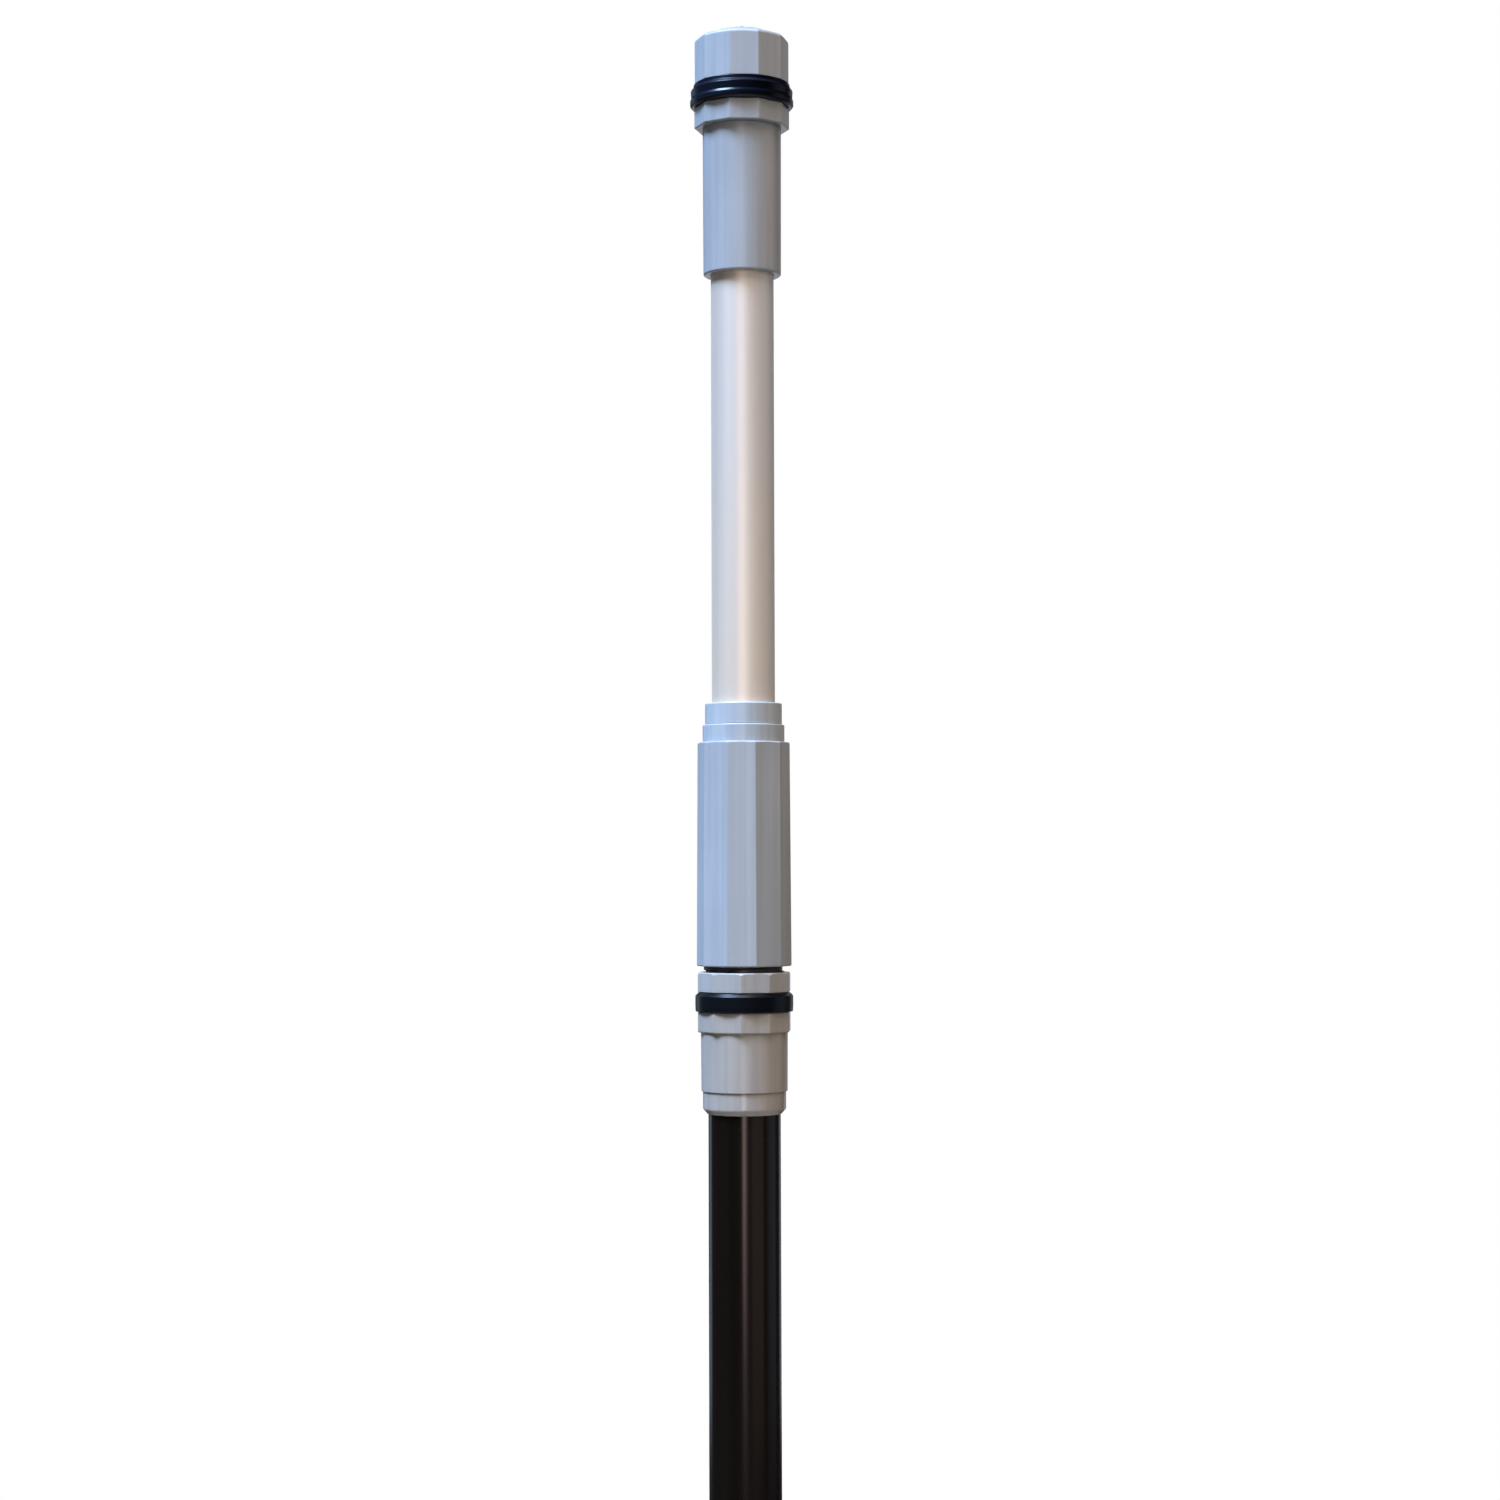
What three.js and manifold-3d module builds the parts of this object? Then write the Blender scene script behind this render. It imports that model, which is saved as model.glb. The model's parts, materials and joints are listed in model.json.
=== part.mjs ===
// A two-section telescopic pole for window cleaning, standing upright: +Z runs up the pole, and the
// origin is the centre of the foot's flat underside. Units are millimetres.
//
// The black lower tube carries a grey socket. A threaded core is bonded into the socket. A ten-sided
// back nut clamps a black rubber ring against the socket, and a long ten-sided barrel screws down the
// same thread to close a slit collet on the bright upper tube. The upper tube ends in a sleeve with a
// threaded adaptor for tools, closed by a ten-sided screw cap over a second black rubber ring.
import * as THREE from "three";
import { mergeVertices } from "three/addons/utils/BufferGeometryUtils.js";
import Module from "manifold-3d";

// ---- Driving dimensions ----

// Tubes
const LOWER_TUBE_R = 16;
const LOWER_BORE_R = 14.5;
const UPPER_TUBE_R = 14;
const UPPER_BORE_R = 12.7;

// Heights of the visible stack, from the foot up
const FOOT_H = 28;
const LOWER_TUBE_SHOWN = 442;
const END_RING_H = 10;
const SOCKET_SKIRT_H = 26;
const SOCKET_FLANGE_H = 9;
const UNION_RING_H = 8.6;
const BACK_NUT_H = 8.8;
const LOCK_GAP = 2.6;
const BARREL_H = 99;
const NECK_H = 7.8;
const COLLAR_H = 9.4;
const UPPER_TUBE_SHOWN = 191;
const SLEEVE_H = 66;
const HEAD_FLANGE_H = 9.4;
const HEAD_RING_H = 10.4;
const CAP_H = 20.9;
const CAP_DOME_H = 4.5;

// Radii of the fittings; a ten-sided piece is given by the radius to its corners
const FOOT_R = 18;
const END_RING_R = 18.4;
const SKIRT_BOTTOM_R = 19.05;
const SKIRT_TOP_R = 19.2;
const SOCKET_FLANGE_R = 21.1;
const UNION_RING_R = 21.7;
const BACK_NUT_R = 21.1;
const BARREL_TOP_R = 20.5;
const BARREL_BOTTOM_R = 21.05;
const NECK_R = 18.15;
const COLLAR_R = 17.05;
const SLEEVE_TOP_R = 17.5;
const SLEEVE_BOTTOM_R = 17.3;
const HEAD_FLANGE_R = 21.25;
const HEAD_RING_LIP_R = 21.5;
const HEAD_RING_R = 23.1;
const CAP_R = 21.05;

// How far the corners of each ten-sided piece are turned round the pole, in degrees
const SIDES = 10;
const BARREL_TURN = 15;
const NUT_TURN = 32;
const HEAD_TURN = 21;

// Threads: right-handed, so a piece turned anticlockwise from above climbs
const PITCH = 4;
const THREAD_STEPS = 20; // per turn
const RIDGE = { footWidth: 2.2, crestWidth: 1.1 };
const THREAD_GAP = 0.35;
const CORE_ROOT_R = 16.9;
const CORE_CREST_R = 17.9;
const SPIGOT_ROOT_R = 16;
const SPIGOT_CREST_R = 17;

// Gaps
const SEAT_GAP = 0.1; // between pieces stacked or bonded together
const BOND_GAP = 0.12; // round a bonded or pushed-in spigot
const SLIDE_GAP = 0.2; // round the upper tube
const ROUND = 40; // segments of a round piece
const CHAMFER = 0.6;

// ---- Solids ----

const wasm = await Module();
wasm.setup();

// A closed three.js geometry as a manifold-3d solid with its faces pointing out.
function solidFrom(geometry) {
  const bare = new THREE.BufferGeometry();
  bare.setAttribute("position", geometry.getAttribute("position"));
  bare.setIndex(geometry.index);
  const merged = mergeVertices(bare, 1e-4);
  const index = merged.index.array;
  const triangles = [];
  for (let i = 0; i < index.length; i += 3) {
    const [a, b, c] = index.slice(i, i + 3);
    if (a !== b && b !== c && c !== a) triangles.push([a, b, c]);
  }
  const build = (faces) =>
    new wasm.Manifold(
      new wasm.Mesh({
        numProp: 3,
        vertProperties: merged.getAttribute("position").array,
        triVerts: Uint32Array.from(faces.flat()),
      }),
    );
  const solid = build(triangles);
  return solid.volume() > 0 ? solid : build(triangles.map(([a, b, c]) => [a, c, b]));
}

// A solid turned about +Z from a profile of [radius, height] points. The profile starts and ends on
// the axis. With ten segments it makes a ten-sided piece; turn is in degrees, from -Y towards +X.
function turned(profile, segments = ROUND, turn = 0) {
  const points = profile.map(([radius, height]) => new THREE.Vector2(radius, height));
  const lathe = new THREE.LatheGeometry(points, segments, THREE.MathUtils.degToRad(turn));
  lathe.rotateX(Math.PI / 2);
  return solidFrom(lathe);
}

// A plain round or ten-sided plug between two heights, with its own radius at each.
function plug(bottomR, topR, from, to, segments = ROUND, turn = 0) {
  return turned([[0, from], [bottomR, from], [topR, to], [0, to]], segments, turn);
}

// A tube or ring from a closed profile that stays off the axis.
function ring(profile) {
  return turned([...profile, profile[0]]);
}

// A plain tube.
function pipe(outerR, boreR, from, to) {
  return ring([[boreR, from], [outerR, from], [outerR, to], [boreR, to]]);
}

// A ten-sided block with small chamfers at both ends.
function tenSided(bottomR, topR, from, to, turn) {
  const profile = [
    [0, from],
    [bottomR - CHAMFER, from],
    [bottomR, from + CHAMFER],
    [topR, to - CHAMFER],
    [topR - CHAMFER, to],
    [0, to],
  ];
  return turned(profile, SIDES, turn);
}

// The ridge of a thread, swept up a helix as a closed solid. datum is the height at which the helix
// crosses -Y, grow widens the ridge all round for cutting a mating groove, and fade runs the ends out.
function threadRidge({ root, crest, from, to, datum, grow = 0, fade = true }) {
  const startTurn = (from - datum) / PITCH;
  const endTurn = (to - datum) / PITCH;
  const steps = Math.ceil((endTurn - startTurn) * THREAD_STEPS);
  const inner = root - 0.4;
  const foot = RIDGE.footWidth / 2 + grow;
  const top = RIDGE.crestWidth / 2 + grow;
  const fadeSteps = THREAD_STEPS / 6;
  const positions = [];
  for (let i = 0; i <= steps; i++) {
    const angle = 2 * Math.PI * (startTurn + ((endTurn - startTurn) * i) / steps);
    const height = datum + (PITCH * angle) / (2 * Math.PI);
    const share = fade ? Math.min(1, (i + 0.2) / fadeSteps, (steps - i + 0.2) / fadeSteps) : 1;
    const outer = inner + (crest + grow - inner) * share;
    const section = [[inner, -foot], [outer, -top], [outer, top], [inner, foot]];
    for (const [radius, lift] of section) {
      positions.push(radius * Math.sin(angle), -radius * Math.cos(angle), height + lift);
    }
  }
  const faces = [0, 1, 2, 0, 2, 3];
  for (let i = 0; i < steps; i++) {
    for (let side = 0; side < 4; side++) {
      const a = 4 * i + side;
      const b = 4 * i + ((side + 1) % 4);
      faces.push(a, a + 4, b, b, a + 4, b + 4);
    }
  }
  const last = 4 * steps;
  faces.push(last, last + 2, last + 1, last, last + 3, last + 2);
  const geometry = new THREE.BufferGeometry();
  geometry.setAttribute("position", new THREE.Float32BufferAttribute(positions, 3));
  geometry.setIndex(faces);
  return solidFrom(geometry);
}

// The groove that a ridge of the same root and crest runs in.
function threadGroove(options) {
  return threadRidge({ ...options, grow: THREAD_GAP, fade: false });
}

// ---- Materials ----

function plastic(color, roughness) {
  return new THREE.MeshStandardMaterial({ color, roughness, metalness: 0 });
}

const HEAD_GREY = plastic(0x9fb0cb, 0.45);
const SOCKET_GREY = plastic(0xa3a6ab, 0.42);
const INNER_GREY = plastic(0x6d7076, 0.5);
const NATURAL_NYLON = plastic(0xd9d6c8, 0.5);
const BLACK_RUBBER = plastic(0x14161d, 0.38);
const BLACK_TUBE = new THREE.MeshStandardMaterial({ color: 0x11100e, roughness: 0.22, metalness: 0.4 });
const BRIGHT_TUBE = new THREE.MeshStandardMaterial({ color: 0xd6d5da, roughness: 0.35, metalness: 0.6 });

// A named mesh of a solid, with its local origin at the given height in its group.
function part(name, solid, material, height = 0) {
  const { numProp, numVert, vertProperties, triVerts } = solid.getMesh();
  const positions = new Float32Array(numVert * 3);
  for (let i = 0; i < numVert; i++) {
    positions.set(vertProperties.subarray(i * numProp, i * numProp + 3), i * 3);
  }
  const geometry = new THREE.BufferGeometry();
  geometry.setAttribute("position", new THREE.BufferAttribute(positions, 3));
  geometry.setIndex(new THREE.BufferAttribute(triVerts, 1));
  geometry.computeVertexNormals();
  const mesh = new THREE.Mesh(geometry, material);
  mesh.name = name;
  mesh.position.z = height;
  return mesh;
}

// ---- Heights worked out from the stack ----

const SOCKET_Z = FOOT_H + LOWER_TUBE_SHOWN;
const SKIRT_Z = SOCKET_Z + END_RING_H;
const SOCKET_FLANGE_Z = SKIRT_Z + SOCKET_SKIRT_H;
const UNION_RING_Z = SOCKET_FLANGE_Z + SOCKET_FLANGE_H;
const BACK_NUT_Z = UNION_RING_Z + UNION_RING_H;
const BARREL_Z = BACK_NUT_Z + BACK_NUT_H + LOCK_GAP;
const NECK_Z = BARREL_Z + BARREL_H;
const COLLAR_Z = NECK_Z + NECK_H;
const SLEEVE_Z = COLLAR_Z + COLLAR_H + UPPER_TUBE_SHOWN;
const HEAD_FLANGE_Z = SLEEVE_Z + SLEEVE_H;
const HEAD_RING_Z = HEAD_FLANGE_Z + HEAD_FLANGE_H;
const CAP_Z = HEAD_RING_Z + HEAD_RING_H;

// ---- Foot and lower tube ----

const FOOT_FLOOR = 4;
const LOWER_TUBE_BOTTOM = FOOT_FLOOR + SEAT_GAP;
const LOWER_TUBE_IN_SOCKET = 32;
const LOWER_TUBE_TOP = SOCKET_Z + LOWER_TUBE_IN_SOCKET;

function footCap() {
  const cup = [
    [0, 0],
    [FOOT_R - 2.2, 0],
    [FOOT_R, 2.2],
    [FOOT_R, FOOT_H - 1],
    [FOOT_R - 0.7, FOOT_H],
    [LOWER_TUBE_R + BOND_GAP, FOOT_H],
    [LOWER_TUBE_R + BOND_GAP, FOOT_FLOOR],
    [0, FOOT_FLOOR],
  ];
  return turned(cup);
}

// A cup pushed into the lower end of the tube, so that the upper tube lands on plastic.
function footPlug() {
  const wall = 2.4;
  const radius = LOWER_BORE_R - BOND_GAP;
  const height = 20;
  return turned([[0, 0], [radius, 0], [radius, height], [radius - wall, height], [radius - wall, 3], [0, 3]]);
}

// ---- Socket at the top of the lower tube ----

const WEB_BOTTOM = LOWER_TUBE_TOP + SEAT_GAP - SKIRT_Z; // the inner step the tube butts against
const WEB_TOP = WEB_BOTTOM + 4;
const CORE_Z = SKIRT_Z + WEB_TOP + SEAT_GAP;
const SLIDE_BORE_R = UPPER_TUBE_R + SLIDE_GAP;

function socketEndRing() {
  const bore = LOWER_TUBE_R + BOND_GAP;
  const top = END_RING_H - SEAT_GAP;
  return ring([
    [bore, 0],
    [END_RING_R - 1.8, 0],
    [END_RING_R - 0.5, 0.7],
    [END_RING_R, 2],
    [END_RING_R, top],
    [bore, top],
  ]);
}

// Round skirt and ten-sided flange in one moulding.
function socketBody() {
  const top = SOCKET_SKIRT_H + SOCKET_FLANGE_H - SEAT_GAP;
  const skirt = plug(SKIRT_BOTTOM_R, SKIRT_TOP_R, 0, SOCKET_SKIRT_H + 1);
  const flange = tenSided(SOCKET_FLANGE_R - 0.5, SOCKET_FLANGE_R, SOCKET_SKIRT_H, top, NUT_TURN);
  const tubeSeat = plug(LOWER_TUBE_R + BOND_GAP, LOWER_TUBE_R + BOND_GAP, -1, WEB_BOTTOM);
  const coreSeat = plug(CORE_ROOT_R + BOND_GAP, CORE_ROOT_R + BOND_GAP, WEB_TOP, top + 1);
  const through = plug(SLIDE_BORE_R, SLIDE_BORE_R, -1, top + 1);
  return skirt.add(flange).subtract(tubeSeat).subtract(coreSeat).subtract(through);
}

// The threaded core that everything on the coupling runs on. Its bore guides the upper tube.
const THREAD_FROM = UNION_RING_Z + 4;
const THREAD_TO = BARREL_Z + 13;
const CORE_TOP = BARREL_Z + 63;
const CORE_THREAD = { root: CORE_ROOT_R, crest: CORE_CREST_R };

function lockCore() {
  const height = CORE_TOP - CORE_Z;
  const ridge = threadRidge({
    ...CORE_THREAD,
    from: THREAD_FROM - CORE_Z,
    to: THREAD_TO - CORE_Z,
    datum: THREAD_FROM - CORE_Z,
  });
  const body = plug(CORE_ROOT_R, CORE_ROOT_R, 0, height);
  const bore = plug(SLIDE_BORE_R, SLIDE_BORE_R, -1, height + 1);
  return body.add(ridge).subtract(bore);
}

// ---- Rubber ring and back nut ----

function unionRing() {
  const bore = CORE_CREST_R + 0.3;
  const top = UNION_RING_H - SEAT_GAP;
  return ring([
    [bore, 0],
    [UNION_RING_R - 0.5, 0],
    [UNION_RING_R, 0.5],
    [UNION_RING_R, top - 1.4],
    [UNION_RING_R - 0.9, top],
    [bore, top],
  ]);
}

function backNut() {
  const block = tenSided(BACK_NUT_R, BACK_NUT_R, 0, BACK_NUT_H, NUT_TURN);
  const bore = plug(CORE_ROOT_R + THREAD_GAP, CORE_ROOT_R + THREAD_GAP, -1, BACK_NUT_H + 1);
  const groove = threadGroove({
    ...CORE_THREAD,
    from: -PITCH,
    to: BACK_NUT_H + PITCH,
    datum: THREAD_FROM - BACK_NUT_Z,
  });
  return block.subtract(bore).subtract(groove);
}

// ---- Collet lock ----

const COLLET_R = 16.4;
const COLLET_TIP_R = 15.3;
const COLLET_BASE_H = 10;
const COLLET_STRAIGHT_H = 22;
const COLLET_H = 32;
const COLLET_FINGERS = 6;
const COLLET_SLIT = 1.6;
const CHAMBER_R = 17.6;
const SHOULDER = BARREL_H - 3; // where the barrel's bore steps in over the thrust ring
const CONE_FROM = 24; // height of the thrust ring's foot above the collet's foot

function lockCollet() {
  const bore = UPPER_TUBE_R + 0.15;
  const sleeve = ring([
    [bore, 0],
    [COLLET_R, 0],
    [COLLET_R, COLLET_STRAIGHT_H],
    [COLLET_TIP_R, COLLET_H],
    [bore, COLLET_H],
  ]);
  const reach = 2 * COLLET_R;
  const slitHeight = COLLET_H - COLLET_BASE_H + 1;
  let collet = sleeve;
  for (let i = 0; i < COLLET_FINGERS; i++) {
    const slit = new THREE.BoxGeometry(reach, COLLET_SLIT, slitHeight);
    slit.translate(reach / 2, 0, COLLET_BASE_H + slitHeight / 2);
    slit.rotateZ((2 * Math.PI * i) / COLLET_FINGERS);
    collet = collet.subtract(solidFrom(slit));
  }
  return collet;
}

// A ring with a conical bore. It moves along the pole but doesn't turn, so that the barrel's twist
// never reaches the collet's fingers.
const THRUST_RING_H = SHOULDER - (CORE_TOP - BARREL_Z) - SEAT_GAP - CONE_FROM - SEAT_GAP;

function thrustRing() {
  const slope = (COLLET_R - COLLET_TIP_R) / (COLLET_H - COLLET_STRAIGHT_H);
  const coneGap = 0.3;
  const boreAt = (height) => COLLET_R + coneGap - slope * Math.max(0, CONE_FROM + height - COLLET_STRAIGHT_H);
  return ring([
    [boreAt(0), 0],
    [CHAMBER_R - 0.3, 0],
    [CHAMBER_R - 0.3, THRUST_RING_H],
    [boreAt(THRUST_RING_H), THRUST_RING_H],
  ]);
}

const WIPER_POCKET_R = 16.4;
const WIPER_POCKET_FROM = BARREL_H + 2.2;

function lockBarrel() {
  const top = BARREL_H + NECK_H - SEAT_GAP;
  const grip = tenSided(BARREL_BOTTOM_R, BARREL_TOP_R, 0, BARREL_H, BARREL_TURN);
  const neck = turned([
    [0, BARREL_H - 1],
    [NECK_R, BARREL_H - 1],
    [NECK_R, top - CHAMFER],
    [NECK_R - CHAMFER, top],
    [0, top],
  ]);
  const runBore = CORE_ROOT_R + THREAD_GAP;
  const threadRun = plug(runBore, runBore, -1, 14);
  const chamber = plug(CHAMBER_R, CHAMBER_R, 13, SHOULDER);
  const through = plug(UPPER_TUBE_R + 0.5, UPPER_TUBE_R + 0.5, SHOULDER - 1, top + 1);
  const pocket = plug(WIPER_POCKET_R, WIPER_POCKET_R, WIPER_POCKET_FROM, top + 1);
  const groove = threadGroove({
    ...CORE_THREAD,
    from: -PITCH,
    to: 13 + PITCH,
    datum: THREAD_FROM - BARREL_Z,
  });
  // The groove stops inside the chamber, which is wide enough to hide its end.
  return grip.add(neck).subtract(threadRun).subtract(chamber).subtract(through).subtract(pocket).subtract(groove);
}

function wiperSeal() {
  const outer = WIPER_POCKET_R - BOND_GAP;
  const height = 3.6;
  return ring([
    [UPPER_TUBE_R + 1.2, 0],
    [outer, 0],
    [outer, height],
    [UPPER_TUBE_R + 0.15, height],
    [UPPER_TUBE_R + 0.15, height - 1],
  ]);
}

function wiperCollar() {
  const bore = UPPER_TUBE_R + 0.3;
  const spigot = 1.6;
  return ring([
    [bore, -spigot],
    [WIPER_POCKET_R - BOND_GAP, -spigot],
    [WIPER_POCKET_R - BOND_GAP, 0],
    [COLLAR_R, 0],
    [COLLAR_R, COLLAR_H - CHAMFER],
    [COLLAR_R - CHAMFER, COLLAR_H],
    [bore, COLLAR_H],
  ]);
}

// ---- Upper tube ----

const UPPER_TUBE_IN_SLEEVE = 46;
const UPPER_TUBE_BOTTOM = 229;
const UPPER_TUBE_TOP = SLEEVE_Z + UPPER_TUBE_IN_SLEEVE;
const BUSH_H = 12;
const BUSH_SPIGOT_H = 15;

// The bush on the tube's lower end, which rides in the lower tube and stops at the socket's web.
function guideBush() {
  const spigotR = UPPER_BORE_R - 0.15;
  const collarR = LOWER_BORE_R - 0.15;
  return ring([
    [spigotR - 2, -BUSH_H],
    [collarR - 0.4, -BUSH_H],
    [collarR, -BUSH_H + 0.8],
    [collarR, -SEAT_GAP],
    [spigotR, -SEAT_GAP],
    [spigotR, BUSH_SPIGOT_H - 1],
    [spigotR - 0.5, BUSH_SPIGOT_H],
    [spigotR - 2, BUSH_SPIGOT_H],
  ]);
}

// ---- Head ----

const ADAPTOR_TAIL_R = 14.9;
const ADAPTOR_TAIL_H = 19;
const SPIGOT_H = 26.4;
const WATERWAY_R = 10;
const ORING_R = 0.9;
const ORING_AT = -9;
const SPIGOT_THREAD = { root: SPIGOT_ROOT_R, crest: SPIGOT_CREST_R };
const SPIGOT_THREAD_FROM = HEAD_RING_H + 1.2; // above the seat of the rubber ring
const SPIGOT_THREAD_TO = HEAD_RING_H + 13;

function headSleeve() {
  const tubeSeat = UPPER_TUBE_R + BOND_GAP;
  const tailSeat = ADAPTOR_TAIL_R + BOND_GAP;
  const step = UPPER_TUBE_IN_SLEEVE + SEAT_GAP;
  const top = SLEEVE_H - SEAT_GAP;
  return ring([
    [tubeSeat, 0],
    [SLEEVE_BOTTOM_R - 0.7, 0],
    [SLEEVE_BOTTOM_R, 0.7],
    [SLEEVE_TOP_R, top],
    [tailSeat, top],
    [tailSeat, step],
    [tubeSeat, step],
  ]);
}

// Ten-sided flange with a bonded tail below it and the threaded tool spigot above it.
function headAdaptor() {
  const flange = tenSided(HEAD_FLANGE_R, HEAD_FLANGE_R, 0, HEAD_FLANGE_H, HEAD_TURN);
  const groove = ORING_R * 1.1; // half the width of the O-ring's groove
  const grooveR = ADAPTOR_TAIL_R - 2 * ORING_R - SEAT_GAP;
  const tail = turned([
    [0, -ADAPTOR_TAIL_H],
    [ADAPTOR_TAIL_R - 0.6, -ADAPTOR_TAIL_H],
    [ADAPTOR_TAIL_R, -ADAPTOR_TAIL_H + 0.6],
    [ADAPTOR_TAIL_R, ORING_AT - groove],
    [grooveR, ORING_AT - groove],
    [grooveR, ORING_AT + groove],
    [ADAPTOR_TAIL_R, ORING_AT + groove],
    [ADAPTOR_TAIL_R, 1],
    [0, 1],
  ]);
  const spigotTop = HEAD_FLANGE_H + SPIGOT_H;
  const spigot = turned([
    [0, HEAD_FLANGE_H - 1],
    [SPIGOT_ROOT_R, HEAD_FLANGE_H - 1],
    [SPIGOT_ROOT_R, spigotTop - 1],
    [SPIGOT_ROOT_R - 1, spigotTop],
    [0, spigotTop],
  ]);
  const ridge = threadRidge({
    ...SPIGOT_THREAD,
    from: HEAD_FLANGE_H + SPIGOT_THREAD_FROM,
    to: HEAD_FLANGE_H + SPIGOT_THREAD_TO,
    datum: HEAD_FLANGE_H + SPIGOT_THREAD_FROM,
  });
  const bore = plug(WATERWAY_R, WATERWAY_R, -ADAPTOR_TAIL_H - 1, spigotTop + 1);
  return flange.add(tail).add(spigot).add(ridge).subtract(bore);
}

function adaptorORing() {
  const circle = new THREE.EllipseCurve(ADAPTOR_TAIL_R - ORING_R, 0, ORING_R, ORING_R);
  const points = circle.getPoints(8).slice(0, -1);
  return ring(points.map((point) => [point.x, point.y]));
}

// Rubber ring with a narrow lip that tucks under the cap's rim.
function headRing() {
  const bore = SPIGOT_ROOT_R + 0.3;
  const lip = HEAD_RING_H - 1.6;
  const top = HEAD_RING_H - SEAT_GAP;
  return ring([
    [bore, SEAT_GAP],
    [HEAD_RING_R - 0.4, SEAT_GAP],
    [HEAD_RING_R, 0.7],
    [HEAD_RING_R, lip - 1],
    [HEAD_RING_LIP_R, lip],
    [HEAD_RING_LIP_R, top - 0.4],
    [HEAD_RING_LIP_R - 0.4, top],
    [bore, top],
  ]);
}

const CAP_BORE_DEPTH = CAP_H - 2.6;
const DOME_R = 16;
const LINER_R = SPIGOT_ROOT_R - 0.4;
const LINER_H = 1.4;
const NUB_R = 1.2;
const NUB_H = 1.6;

// A ten-sided cup with a flat shoulder, a low dome inside the shoulder and a gate nub at its middle.
function cap() {
  const chamfer = 1.4;
  const shell = turned(
    [
      [0, 0],
      [CAP_R - 0.3, 0],
      [CAP_R, 0.3],
      [CAP_R, CAP_H - chamfer],
      [CAP_R - chamfer, CAP_H],
      [0, CAP_H],
    ],
    SIDES,
    HEAD_TURN,
  );
  const steps = 6;
  const domeProfile = [[0, CAP_H - 1], [DOME_R, CAP_H - 1]];
  for (let i = 0; i <= steps; i++) {
    const share = 1 - i / steps;
    domeProfile.push([DOME_R * share, CAP_H + CAP_DOME_H * (1 - share * share)]);
  }
  const crown = CAP_H + CAP_DOME_H;
  const nub = plug(NUB_R, NUB_R - 0.3, crown - 2, crown + NUB_H, 12);
  const boreR = SPIGOT_ROOT_R + THREAD_GAP;
  const bore = plug(boreR, boreR, -1, CAP_BORE_DEPTH);
  const groove = threadGroove({
    ...SPIGOT_THREAD,
    from: -PITCH,
    to: SPIGOT_THREAD_TO - HEAD_RING_H + 0.5,
    datum: SPIGOT_THREAD_FROM - HEAD_RING_H,
  });
  return shell.add(turned(domeProfile)).add(nub).subtract(bore).subtract(groove);
}

// ---- Assembly ----

const pole = new THREE.Group();

const base = new THREE.Group();
base.add(part("foot_cap", footCap(), BLACK_RUBBER));
base.add(part("foot_plug", footPlug(), INNER_GREY, LOWER_TUBE_BOTTOM));
base.add(
  part(
    "outer_tube",
    pipe(LOWER_TUBE_R, LOWER_BORE_R, 0, LOWER_TUBE_TOP - LOWER_TUBE_BOTTOM),
    BLACK_TUBE,
    LOWER_TUBE_BOTTOM,
  ),
);
base.add(part("socket_end_ring", socketEndRing(), SOCKET_GREY, SOCKET_Z));
base.add(part("socket_body", socketBody(), SOCKET_GREY, SKIRT_Z));
base.add(part("lock_core", lockCore(), INNER_GREY, CORE_Z));
base.add(part("lock_collet", lockCollet(), NATURAL_NYLON, CORE_TOP + SEAT_GAP));
pole.add(base);

const union = new THREE.Group();
union.add(part("union_ring", unionRing(), BLACK_RUBBER, UNION_RING_Z));
union.add(part("back_nut", backNut(), SOCKET_GREY, BACK_NUT_Z));
pole.add(union);

const lock = new THREE.Group();
lock.add(part("thrust_ring", thrustRing(), NATURAL_NYLON, CORE_TOP + SEAT_GAP + CONE_FROM));
lock.add(part("lock_barrel", lockBarrel(), HEAD_GREY, BARREL_Z));
lock.add(part("wiper_seal", wiperSeal(), BLACK_RUBBER, BARREL_Z + WIPER_POCKET_FROM + SEAT_GAP));
lock.add(part("wiper_collar", wiperCollar(), HEAD_GREY, COLLAR_Z));
pole.add(lock);

const mast = new THREE.Group();
mast.add(part("guide_bush", guideBush(), NATURAL_NYLON, UPPER_TUBE_BOTTOM));
mast.add(
  part(
    "inner_tube",
    pipe(UPPER_TUBE_R, UPPER_BORE_R, 0, UPPER_TUBE_TOP - UPPER_TUBE_BOTTOM),
    BRIGHT_TUBE,
    UPPER_TUBE_BOTTOM,
  ),
);
mast.add(part("head_sleeve", headSleeve(), HEAD_GREY, SLEEVE_Z));
mast.add(part("head_adaptor", headAdaptor(), HEAD_GREY, HEAD_FLANGE_Z));
mast.add(part("adaptor_o_ring", adaptorORing(), BLACK_RUBBER, HEAD_FLANGE_Z + ORING_AT));
mast.add(part("head_ring", headRing(), BLACK_RUBBER, HEAD_RING_Z));
pole.add(mast);

const cover = new THREE.Group();
cover.position.z = CAP_Z;
cover.add(part("cap_liner", plug(LINER_R, LINER_R, 0, LINER_H), BLACK_RUBBER, CAP_BORE_DEPTH - LINER_H - SEAT_GAP));
cover.add(part("cap", cap(), HEAD_GREY));
pole.add(cover);

export default pole;
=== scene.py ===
"""The looks of a telescopic window cleaning pole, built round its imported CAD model.

Every piece of the pole is a body of revolution or a ten-sided block, so each visible piece is a fine
closed loft: a rounded-off section, swept once round the pole's axis. Sections are in millimetres, as
(distance from the axis, height, rounding of the corner). Heights and radii come from the CAD nodes.
The floor, the lights and the camera are placed in metres, and angles are in degrees.
"""
import json
from math import atan2, ceil, cos, degrees, hypot, radians, sin, sqrt, tan

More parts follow.
